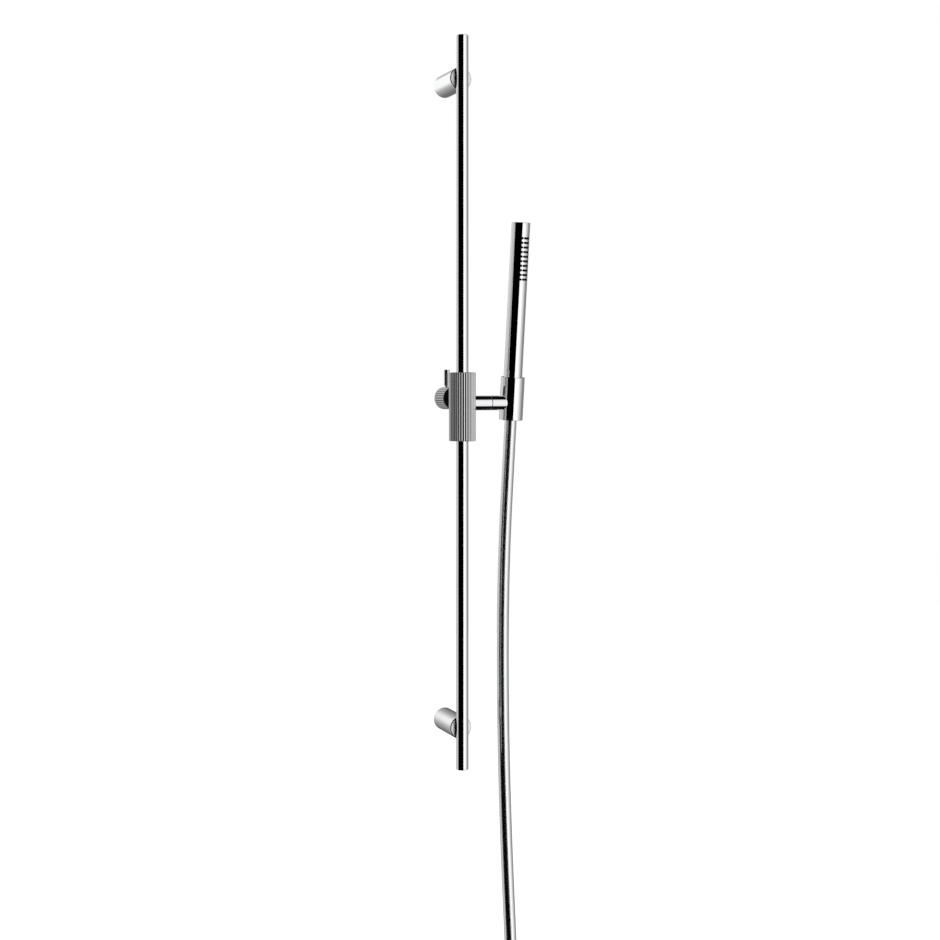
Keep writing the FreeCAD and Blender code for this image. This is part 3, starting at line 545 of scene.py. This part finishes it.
# Holder: a chromed cup with a short stub that meets the arm, open at both ends.
# A black nylon liner inside it grips the handset and the taper of the hose nut.
HOLDER_R = 14.8
HOLDER_BORE_R = 13.0
HOLDER_TOP = 32.3
HOLDER_FOOT = -21.1
STUB_FAR = -33.0
STUB_NEAR = -12.0
LINER_R = 12.95
LINER_MOUTH_R = 12.3
LINER_BORE_R = 11.8
LINER_FOOT_R = 9.44
LINER_TOP = HOLDER_TOP - 0.8
HANDSET_FOOT = 12.0
HOLDER_OUT = 0.072
TILTED = Matrix.Rotation(math.radians(5.5), 4, "X")
ON_HOLDER = ON_SLIDER @ Matrix.Translation((HOLDER_OUT, 0, ARM_UP)) @ TILTED
cup = turned("holder_cup", [(HOLDER_BORE_R, HOLDER_FOOT, 0.2), (HOLDER_R, HOLDER_FOOT, 0.6),
                            (HOLDER_R, HOLDER_TOP, 0.6), (HOLDER_BORE_R, HOLDER_TOP, 0.2)],
             chrome, ON_HOLDER, Segments=128)
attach(cup, "holder")
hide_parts("holder_socket")
stub = turned("holder_stub",
              [(0, STUB_FAR, 0), (ARM_R, STUB_FAR, 0.3), (ARM_R, STUB_NEAR, 0), (0, STUB_NEAR, 0)], chrome,
              ON_HOLDER @ SIDEWAYS, closed=False, Segments=128)
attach(stub, "holder")
liner = turned("holder_black_liner",
               [(LINER_FOOT_R, HOLDER_FOOT, 0), (LINER_R, HOLDER_FOOT, 0), (LINER_R, LINER_TOP, 0),
                (LINER_MOUTH_R, LINER_TOP, 0.1), (LINER_BORE_R, LINER_TOP - 1.0, 0.2),
                (LINER_BORE_R, HANDSET_FOOT, 0)],
               black_nylon, ON_HOLDER)
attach(liner, "holder")
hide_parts("holder_liner")

# Handset: a straight chromed tube with a flush end cap and a strip of spray nozzles.
# The tube ends inside the holder, where the hose nut screws on to its inlet.
HANDSET_R = 11.5
HANDSET_BORE_R = 10.0
HANDSET_TOP = 224.5
HANDSET_CAP_SEAT = HANDSET_TOP - 2
HANDSET_PLUG_R = 9.95
HANDSET_PLUG_END = HANDSET_TOP - 9
tube = turned("handset_chrome_tube",
              [(HANDSET_BORE_R, HANDSET_FOOT, 0), (HANDSET_R, HANDSET_FOOT, 0.1),
               (HANDSET_R, HANDSET_CAP_SEAT, 0.05), (HANDSET_BORE_R, HANDSET_CAP_SEAT, 0)],
              chrome, ON_HOLDER, Segments=128)
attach(tube, "holder")
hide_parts("handset_tube")
cap = turned("handset_cap_turned",
             [(0, HANDSET_TOP, 0), (HANDSET_R, HANDSET_TOP, 0.8), (HANDSET_R, HANDSET_CAP_SEAT, 0.05),
              (HANDSET_PLUG_R, HANDSET_CAP_SEAT, 0), (HANDSET_PLUG_R, HANDSET_PLUG_END, 0),
              (0, HANDSET_PLUG_END, 0)],
             chrome, ON_HOLDER, closed=False, Segments=128)
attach(cap, "holder")
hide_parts("handset_end_cap")
finish_nodes(nylon, "spray_core")
finish_nodes(brass, "handset_inlet", "hose_top_tail")


# Nozzles: black silicone tips, three columns of ten, that stand a little proud of the tube.
# They are moulded in one strip behind the wall and pushed out through its holes.
def nozzle_tree():
    """Sets copies of one tip in rows down the Z axis and columns round it."""
    tree = bpy.data.node_groups.new("nozzle_strip", "GeometryNodeTree")
    face = tree.interface
    face.new_socket("Tip", in_out="INPUT", socket_type="NodeSocketGeometry")
    for name, kind, value in (("Rows", "Int", 10), ("Columns", "Int", 3), ("Pitch", "Float", 0.00565),
                              ("Step", "Float", 0.34), ("First row", "Float", 0.2)):
        face.new_socket(name, in_out="INPUT", socket_type="NodeSocket" + kind).default_value = value
    face.new_socket("Finish", in_out="INPUT", socket_type="NodeSocketMaterial")
    face.new_socket("Strip", in_out="OUTPUT", socket_type="NodeSocketGeometry")
    nodes, links = tree.nodes, tree.links
    given, result = nodes.new("NodeGroupInput"), nodes.new("NodeGroupOutput")
    sum_of = sums_in(tree)
    grid = nodes.new("GeometryNodeMeshGrid")
    links.new(given.outputs["Rows"], grid.inputs["Vertices X"])
    links.new(given.outputs["Columns"], grid.inputs["Vertices Y"])
    index = nodes.new("GeometryNodeInputIndex").outputs[0]
    row = sum_of("FLOOR", sum_of("DIVIDE", sum_of("ADD", index, 0.25), given.outputs["Columns"]))
    column = sum_of("SUBTRACT", index, sum_of("MULTIPLY", row, given.outputs["Columns"]))
    middle = sum_of("MULTIPLY", sum_of("SUBTRACT", given.outputs["Columns"], 1), 0.5)
    turn = sum_of("MULTIPLY", sum_of("SUBTRACT", column, middle), given.outputs["Step"])
    height = sum_of("SUBTRACT", given.outputs["First row"], sum_of("MULTIPLY", row, given.outputs["Pitch"]))
    point = nodes.new("ShaderNodeCombineXYZ")
    links.new(height, point.inputs["Z"])
    moved = nodes.new("GeometryNodeSetPosition")
    links.new(grid.outputs["Mesh"], moved.inputs["Geometry"])
    links.new(point.outputs[0], moved.inputs["Position"])
    spin = nodes.new("ShaderNodeCombineXYZ")
    links.new(turn, spin.inputs["Z"])
    tips = nodes.new("GeometryNodeInstanceOnPoints")
    links.new(moved.outputs[0], tips.inputs["Points"])
    links.new(given.outputs["Tip"], tips.inputs["Instance"])
    links.new(spin.outputs[0], tips.inputs["Rotation"])
    realized = nodes.new("GeometryNodeRealizeInstances")
    links.new(tips.outputs[0], realized.inputs[0])
    painted = nodes.new("GeometryNodeSetMaterial")
    links.new(realized.outputs[0], painted.inputs["Geometry"])
    links.new(given.outputs["Finish"], painted.inputs["Material"])
    links.new(painted.outputs[0], result.inputs["Strip"])
    return tree


silicone = moulded("black_silicone", (0.003, 0.003, 0.0032), 0.6, 0.8, 1500.0, gloss=0.08)
FORWARD = Matrix.Rotation(math.radians(90), 4, "X")
NOZZLE_R = 1.5
NOZZLE_ROOT = 9.4
NOZZLE_TIP = HANDSET_R + 1.3
NOZZLE_PIT = NOZZLE_TIP - 0.5
NOZZLE_ROWS = 10
NOZZLE_COLUMNS = 3
NOZZLE_PITCH = 5.65
NOZZLE_STEP = 19.5
FIRST_NOZZLE = HANDSET_TOP - 19.4
nozzles = turned("handset_nozzle_tips",
                 [(0, NOZZLE_ROOT, 0), (NOZZLE_R, NOZZLE_ROOT, 0), (NOZZLE_R, NOZZLE_TIP, 0.35),
                  (0.5, NOZZLE_TIP, 0.1), (0.4, NOZZLE_PIT, 0), (0, NOZZLE_PIT, 0)],
                 silicone, FORWARD, closed=False, Segments=24)
strip = nozzles.modifiers.new("strip", "NODES")
strip.node_group = nozzle_tree()
set_inputs(strip, {"Rows": NOZZLE_ROWS, "Columns": NOZZLE_COLUMNS, "Pitch": NOZZLE_PITCH / 1000,
                   "Step": math.radians(NOZZLE_STEP), "First row": FIRST_NOZZLE / 1000, "Finish": silicone})
as_plain_mesh(nozzles)
nozzles.data.transform(ON_HOLDER)
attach(nozzles, "holder")
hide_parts("nozzle_strip")

# Hose: a smooth silver-skinned hose, 1.5 m long and 15 mm thick, under a chromed cone nut.
# It hangs from the handset in a slow curve, and the rest is folded into a tied hank.
# The route and the hank are in metres, in the slider's frame.
NUT_FOOT = -16.1
NUT_FLOOR = -1
NUT_TOP = 11.9
NUT_FOOT_R = 9.5
NUT_BORE_R = 10.5
NUT_HOSE_R = 7.55
nut = turned("hose_cone_nut_turned",
             [(NUT_HOSE_R, NUT_FOOT, 0), (NUT_FOOT_R, NUT_FOOT, 0.5), (HANDSET_R, NUT_TOP, 0.1),
              (NUT_BORE_R, NUT_TOP, 0), (NUT_BORE_R, NUT_FLOOR, 0), (NUT_HOSE_R, NUT_FLOOR, 0)],
             chrome, ON_HOLDER)
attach(nut, "holder")
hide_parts("hose_cone_nut")
finish_nodes(silicone, "hose_top_seal")
HOSE_R = 0.0075
HOSE_X = HOLDER_OUT
STRAIGHT_END = -0.0606
ROUTE = [(0.0162, -0.165), (0.0204, -0.265), (0.020, -0.375), (0.0164, -0.480), (0.009, -0.590),
         (0.0005, -0.690)]
HANK_FOLD = 0.045
HANK_TOP = -0.745
HANK_BOTTOM = -0.890
HANK_STEP = 0.024
HANK_END = -0.896
hose_top = ON_HOLDER @ Vector((0, 0, NUT_FLOOR / 1000))
hose_points = [hose_top, ON_HOLDER @ Vector((0, 0, STRAIGHT_END))]
hose_points += [ON_SLIDER @ Vector((HOSE_X, y, z)) for y, z in ROUTE]
run_y = ROUTE[-1][0]
fold_x = HOSE_X + HANK_FOLD
FOLD_STEPS = 6
half_step = math.pi / FOLD_STEPS / 2
reach = HANK_FOLD / math.cos(half_step)
lead = HANK_FOLD * math.tan(half_step)
hank = [(HOSE_X, run_y, HANK_TOP), (HOSE_X, run_y, HANK_BOTTOM + lead)]
for k in range(FOLD_STEPS):
    turn = half_step * (2 * k + 1)
    hank.append((fold_x - reach * math.cos(turn), run_y, HANK_BOTTOM - reach * math.sin(turn)))
hank += [(fold_x + HANK_FOLD, run_y, HANK_BOTTOM + lead), (fold_x + HANK_FOLD, run_y, HANK_TOP - lead)]
for k in range(FOLD_STEPS):
    turn = half_step * (2 * k + 1)
    across = run_y - HANK_STEP * (k + 0.5) / FOLD_STEPS
    hank.append((fold_x + reach * math.cos(turn), across, HANK_TOP + reach * math.sin(turn)))
hank += [(HOSE_X, run_y - HANK_STEP, HANK_TOP - lead), (HOSE_X, run_y - HANK_STEP, HANK_END)]
hose_points += [ON_SLIDER @ Vector(p) for p in hank]
line = bpy.data.curves.new("hose_line", "CURVE")
line.dimensions = "3D"
line.resolution_u = 12
spline = line.splines.new("NURBS")
spline.points.add(len(hose_points) - 1)
for point, place in zip(spline.points, hose_points):
    point.co = (*place, 1)
spline.order_u = 3
spline.use_endpoint_u = True
hose = bpy.data.objects.new("hose_silver", line)
bpy.context.collection.objects.link(hose)
centre = bpy.data.meshes.new_from_object(hose.evaluated_get(bpy.context.evaluated_depsgraph_get()))
bpy.data.meshes.remove(centre)
line.bevel_depth = HOSE_R
line.bevel_resolution = 10
line.use_fill_caps = True
skin_mesh = bpy.data.meshes.new_from_object(hose.evaluated_get(bpy.context.evaluated_depsgraph_get()))
bpy.data.objects.remove(hose)
hose = bpy.data.objects.new("hose_silver", skin_mesh)
bpy.context.collection.objects.link(hose)
true_faces(hose.data, 60)


def hose_skin():
    """Clear gloss over a fine silver layer."""
    finish = bpy.data.materials.new("silver_hose")
    finish.use_nodes = True
    nodes, links = finish.node_tree.nodes, finish.node_tree.links
    shader = nodes["Principled BSDF"]
    shader.inputs["Base Color"].default_value = (0.88, 0.885, 0.895, 1)
    shader.inputs["Metallic"].default_value = 1.0
    shader.inputs["Coat Weight"].default_value = 0.3
    shader.inputs["Coat Roughness"].default_value = 0.06
    marks = nodes.new("ShaderNodeGroup")
    marks.node_tree = polish
    for socket, value in (("Low", 0.24), ("High", 0.28), ("Haze scale", 45.0), ("Line scale", 1400.0)):
        marks.inputs[socket].default_value = value
    links.new(marks.outputs["Roughness"], shader.inputs["Roughness"])
    return finish


hose.data.materials.clear()
hose.data.materials.append(hose_skin())
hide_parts("hose_stub", "hose_tube", "hose_hank")
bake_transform(hose)

# Hose tie: a woven black strap with hook-and-loop ends, drawn round the folded runs.
# It only holds the spare hose for storage and is taken off when the rail is fitted.
TIE_LOW = -0.8175
TIE_HIGH = TIE_LOW + 0.012
TIE_CORNER = 0.005
TIE_INNER = 0.0001
TIE_OUTER = 0.0016
CORNER_STEPS = 6
woven = moulded("woven_strap", (0.03, 0.03, 0.033), 0.75, 0.95, 2600.0)
left = HOSE_X - HOSE_R + TIE_CORNER
right = fold_x + HANK_FOLD + HOSE_R - TIE_CORNER
front = run_y - HANK_STEP - HOSE_R + TIE_CORNER
back = run_y + HOSE_R - TIE_CORNER
strap = bmesh.new()
loops = []
for out in (TIE_INNER, TIE_OUTER):
    ring = []
    round_r = TIE_CORNER + out
    for x, y, start in ((right, back, 0), (left, back, 90), (left, front, 180), (right, front, 270)):
        for k in range(CORNER_STEPS + 1):
            a = math.radians(start + 90 * k / CORNER_STEPS)
            ring.append((x + round_r * math.cos(a), y + round_r * math.sin(a)))
    loops.append([[strap.verts.new((x, y, z)) for x, y in ring] for z in (TIE_LOW, TIE_HIGH)])
(inner_low, inner_high), (outer_low, outer_high) = loops
for a, b in ((outer_low, outer_high), (outer_high, inner_high), (inner_high, inner_low),
             (inner_low, outer_low)):
    for k in range(len(a)):
        n = (k + 1) % len(a)
        strap.faces.new((a[k], a[n], b[n], b[k]))
tie_mesh = bpy.data.meshes.new("hose_tie_strap")
strap.to_mesh(tie_mesh)
strap.free()
true_faces(tie_mesh)
tie_mesh.transform(ON_SLIDER)
tie_mesh.materials.append(woven)
tie = bpy.data.objects.new("hose_tie_strap", tie_mesh)
bpy.context.collection.objects.link(tie)
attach(tie, "slider")
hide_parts("hose_tie")

# Hose end: a chromed ferrule on the hose, and a hexagonal union nut that turns freely on it.
# The nut takes the half-inch thread of the water outlet, against a flat black washer.
FERRULE_R = 8.0
NECK_R = 7.0
COLLAR_R = 8.8
WATERWAY_R = 3.0
NECK_FROM = 9
COLLAR_FROM = 12
COLLAR_TO = 14
UNION_FLATS = 23.0
UNION_EDGE_R = 11.6
UNION_R = 12.5
UNION_CHAMFER = 0.9
UNION_FROM = NECK_FROM + 0.1
UNION_TO = 27.1
THREAD_R = 9.35
THREAD_FROM = 16.1
COLLAR_ROOM_R = 9.1
NECK_ROOM_R = 7.3
NECK_ROOM_END = 11.9
DOWN = Matrix.Rotation(math.pi, 4, "X")
AT_END = ON_SLIDER @ Matrix.Translation((HOSE_X, run_y - HANK_STEP, HANK_END)) @ DOWN
ferrule = turned("hose_end_ferrule",
                 [(WATERWAY_R, 1, 0), (WATERWAY_R, 0, 0), (FERRULE_R, 0, 0.6), (FERRULE_R, NECK_FROM, 0.4),
                  (NECK_R, NECK_FROM, 0), (NECK_R, COLLAR_FROM, 0), (COLLAR_R, COLLAR_FROM, 0),
                  (COLLAR_R, COLLAR_TO, 0), (WATERWAY_R, COLLAR_TO, 0)], chrome, AT_END)
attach(ferrule, "slider")
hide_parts("hose_end_tail")
union = turned("hose_union_nut",
               [(NECK_ROOM_R, UNION_FROM, 0), (UNION_EDGE_R, UNION_FROM, 0.1),
                (UNION_R, UNION_FROM + UNION_CHAMFER, 0.1), (UNION_R, UNION_TO - UNION_CHAMFER, 0.1),
                (UNION_EDGE_R, UNION_TO, 0.1), (THREAD_R, UNION_TO, 0.2), (THREAD_R, THREAD_FROM, 0),
                (COLLAR_ROOM_R, THREAD_FROM, 0), (COLLAR_ROOM_R, NECK_ROOM_END, 0),
                (NECK_ROOM_R, NECK_ROOM_END, 0)],
               chrome, AT_END, Segments=144, Flats=6, **{"Across flats": UNION_FLATS / 1000})
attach(union, "end_nut")
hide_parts("hose_end_nut")
finish_nodes(silicone, "hose_end_seal")

# Floor: a plain pale sweep, low enough for the hose to hang clear of it with the slider at its lowest.
# Seen by the camera it is near white, and it still darkens in the shade.
FLOOR_Z = -1.295


def sheet(name, points, faces, finish):
    mesh = bpy.data.meshes.new(name)
    mesh.from_pydata(points, [], faces)
    mesh.materials.append(finish)
    piece = bpy.data.objects.new(name, mesh)
    bpy.context.collection.objects.link(piece)
    return piece


pale = bpy.data.materials.new("pale_floor")
pale.use_nodes = True
nodes, links = pale.node_tree.nodes, pale.node_tree.links
nodes.clear()
matt = nodes.new("ShaderNodeBsdfDiffuse")
matt.inputs["Color"].default_value = (0.55, 0.55, 0.55, 1)
lift = nodes.new("ShaderNodeEmission")
lift.inputs["Strength"].default_value = 0.76
none = nodes.new("ShaderNodeEmission")
none.inputs["Strength"].default_value = 0.0
rays = nodes.new("ShaderNodeLightPath")
seen = nodes.new("ShaderNodeMath")
seen.operation = "MAXIMUM"
links.new(rays.outputs["Is Camera Ray"], seen.inputs[0])
links.new(rays.outputs["Is Glossy Ray"], seen.inputs[1])
chosen = nodes.new("ShaderNodeMixShader")
links.new(seen.outputs[0], chosen.inputs[0])
links.new(none.outputs[0], chosen.inputs[1])
links.new(lift.outputs[0], chosen.inputs[2])
both = nodes.new("ShaderNodeAddShader")
links.new(matt.outputs[0], both.inputs[0])
links.new(chosen.outputs[0], both.inputs[1])
output = nodes.new("ShaderNodeOutputMaterial")
links.new(both.outputs[0], output.inputs["Surface"])
FLOOR_HALF = 6
floor_corners = [(x * FLOOR_HALF, y * FLOOR_HALF, FLOOR_Z) for x, y in ((-1, -1), (1, -1), (1, 1), (-1, 1))]
floor = sheet("floor", floor_corners, [(0, 1, 2, 3)], pale)
floor.visible_glossy = False

# Reflection screen: a round of cards that only polished surfaces see, as in a light tent.
# A black flag stands to the front left, with white beside it, greys behind, and dark above and below.
# Each card's row gives its start and end, in degrees from the front to the right, its greys and their lean.
TENT_R = 3.0
TENT_Y = -0.06
TENT_TOP = 2.68
TENT_LOW = -2.69
CARD_STEPS = 24
RIM_STEPS = 60


def card(name, shades, lean=0.0):
    """A glowing card whose grey runs along it through (share, value) stops, and further along higher up."""
    finish = bpy.data.materials.new(name)
    finish.use_nodes = True
    nodes, links = finish.node_tree.nodes, finish.node_tree.links
    nodes.clear()
    along = nodes.new("ShaderNodeUVMap")
    split = nodes.new("ShaderNodeSeparateXYZ")
    links.new(along.outputs[0], split.inputs[0])
    ramp = nodes.new("ShaderNodeValToRGB")
    stops = ramp.color_ramp.elements
    while len(stops) < len(shades):
        stops.new(1.0)
    for stop, (share, value) in zip(stops, shades):
        stop.position = share
        stop.color = (value, value, value, 1)
    above = nodes.new("ShaderNodeMath")
    above.operation = "SUBTRACT"
    above.inputs[1].default_value = 0.5
    links.new(split.outputs["Y"], above.inputs[0])
    along_and_up = nodes.new("ShaderNodeMath")
    along_and_up.operation = "MULTIPLY_ADD"
    along_and_up.inputs[1].default_value = lean
    links.new(above.outputs[0], along_and_up.inputs[0])
    links.new(split.outputs["X"], along_and_up.inputs[2])
    links.new(along_and_up.outputs[0], ramp.inputs[0])
    glow = nodes.new("ShaderNodeEmission")
    links.new(ramp.outputs[0], glow.inputs["Color"])
    output = nodes.new("ShaderNodeOutputMaterial")
    links.new(glow.outputs[0], output.inputs["Surface"])
    return finish


def only_reflected(piece):
    piece.visible_camera = False
    piece.visible_diffuse = False
    piece.visible_shadow = False
    piece.visible_transmission = False
    piece.visible_volume_scatter = False


for name, start, end, shades, lean in (
        ("flag", -103, 1.5, ((0, 0.0), (1, 0.0)), 0.0),
        ("white", 1.5, 38, ((0, 1.16), (1, 1.16)), 0.0),
        ("right", 38, 146, ((0, 1.1), (0.24, 0.67), (0.47, 0.30), (1, 0.17)), 0.0),
        ("rear", 146, 206, ((0, 0.08), (0.3, 0.2), (0.7, 0.45), (0.84, 0.66), (0.94, 0.95), (1, 1.08)), 0.95),
        ("left", 206, 257, ((0, 0.66), (1, 0.6)), 0.0)):
    points = []
    for k in range(CARD_STEPS + 1):
        a = math.radians(start + (end - start) * k / CARD_STEPS)
        points += [(TENT_R * math.sin(a), TENT_Y - TENT_R * math.cos(a), z) for z in (TENT_LOW, TENT_TOP)]
    faces = [(2 * k, 2 * k + 2, 2 * k + 3, 2 * k + 1) for k in range(CARD_STEPS)]
    screen = sheet("screen_" + name, points, faces, card("card_" + name, shades, lean))
    layer = screen.data.uv_layers.new(name="UVMap")
    for loop in screen.data.loops:
        layer.data[loop.index].uv = ((loop.vertex_index // 2) / CARD_STEPS, loop.vertex_index % 2)
    only_reflected(screen)
dark = card("card_dark", ((0, 0.004), (1, 0.004)))
for name, z in (("screen_over", TENT_TOP), ("screen_under", TENT_LOW)):
    rim = [math.radians(360 * k / RIM_STEPS) for k in range(RIM_STEPS)]
    ring = [(TENT_R * math.cos(a), TENT_Y + TENT_R * math.sin(a), z) for a in rim]
    only_reflected(sheet(name, ring, [tuple(range(RIM_STEPS))], dark))

# Light: a white surround and two large soft lamps, at a level that shows colours as they are.
# The lamps light plastics and the floor, and stay out of the polished reflections.
LAMP_AIM = Vector((0, TENT_Y, -0.1))
world = bpy.data.worlds.new("white_room")
bpy.context.scene.world = world
world.use_nodes = True
nodes, links = world.node_tree.nodes, world.node_tree.links
ambient = nodes["Background"]
ambient.inputs["Color"].default_value = (1, 1, 1, 1)
ambient.inputs["Strength"].default_value = 0.55
white = nodes.new("ShaderNodeBackground")
white.inputs["Color"].default_value = (1, 1, 1, 1)
white.inputs["Strength"].default_value = 1.0
rays = nodes.new("ShaderNodeLightPath")
direct = nodes.new("ShaderNodeMath")
direct.operation = "MAXIMUM"
links.new(rays.outputs["Is Camera Ray"], direct.inputs[0])
links.new(rays.outputs["Is Glossy Ray"], direct.inputs[1])
through = nodes.new("ShaderNodeMath")
through.operation = "MAXIMUM"
links.new(direct.outputs[0], through.inputs[0])
links.new(rays.outputs["Is Transmission Ray"], through.inputs[1])
mixed = nodes.new("ShaderNodeMixShader")
links.new(through.outputs[0], mixed.inputs[0])
links.new(ambient.outputs[0], mixed.inputs[1])
links.new(white.outputs[0], mixed.inputs[2])
links.new(mixed.outputs[0], nodes["World Output"].inputs["Surface"])
for name, place, power in (("key_lamp", (1.4, -1.9, 1.6), 38.0), ("fill_lamp", (-1.9, -1.2, 1.2), 16.0)):
    lamp = bpy.data.lights.new(name, "AREA")
    lamp.size = 1.4
    lamp.energy = power
    stand = bpy.data.objects.new(name, lamp)
    stand.location = place
    stand.rotation_euler = (LAMP_AIM - Vector(place)).to_track_quat("-Z", "Y").to_euler()
    stand.visible_glossy = False
    stand.visible_camera = False
    bpy.context.collection.objects.link(stand)

# Camera: level, to the left of the rail, and a little above its middle.
# The lens is shifted down, so that the rail stands high in the picture and the hose leaves it below.
camera = bpy.data.cameras.new("camera")
camera.sensor_width = 36.0
camera.lens = 60.32
camera.shift_y = -0.0851
camera.clip_start = 0.05
view = bpy.data.objects.new("camera", camera)
view.location = (-0.70, -1.8635, 0.016)
view.rotation_euler = (math.radians(90), 0, math.radians(-21.53))
bpy.context.collection.objects.link(view)
bpy.context.scene.camera = view
bpy.context.scene.view_settings.view_transform = "Standard"
